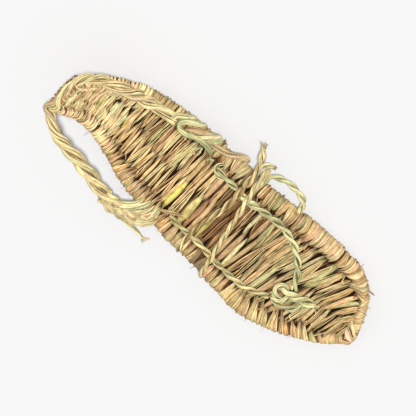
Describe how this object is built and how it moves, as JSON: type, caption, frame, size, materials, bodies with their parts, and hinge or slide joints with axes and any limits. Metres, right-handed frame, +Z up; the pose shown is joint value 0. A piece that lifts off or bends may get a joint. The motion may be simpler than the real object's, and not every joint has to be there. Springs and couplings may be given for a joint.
{
  "type": "straw sandal",
  "caption": "Woven straw sandal with a wrapped rim, a cupped heel turned up to a twisted heel strap, thin cords over the instep and along the foot to a knot behind the toe",
  "frame": {"origin": "On the floor under the middle of the sole's flat tread", "axes": "+X to the toe, +Y to the wearer's left, +Z up"},
  "size_m": [0.2805, 0.1179, 0.0502],
  "materials": {
    "woven_straw": "dry straw, satin on the strips",
    "thick_cord": "dry straw, twisted",
    "thin_cord": "green-tinged straw, tightly twisted"
  },
  "bodies": {
    "root": {"sole": "woven_straw", "heel_strap": "thick_cord", "instep_cords": "thin_cord", "toe_knot": "thin_cord", "side_loop": "thin_cord", "cord_end": "thin_cord"}
  },
  "joints": []
}
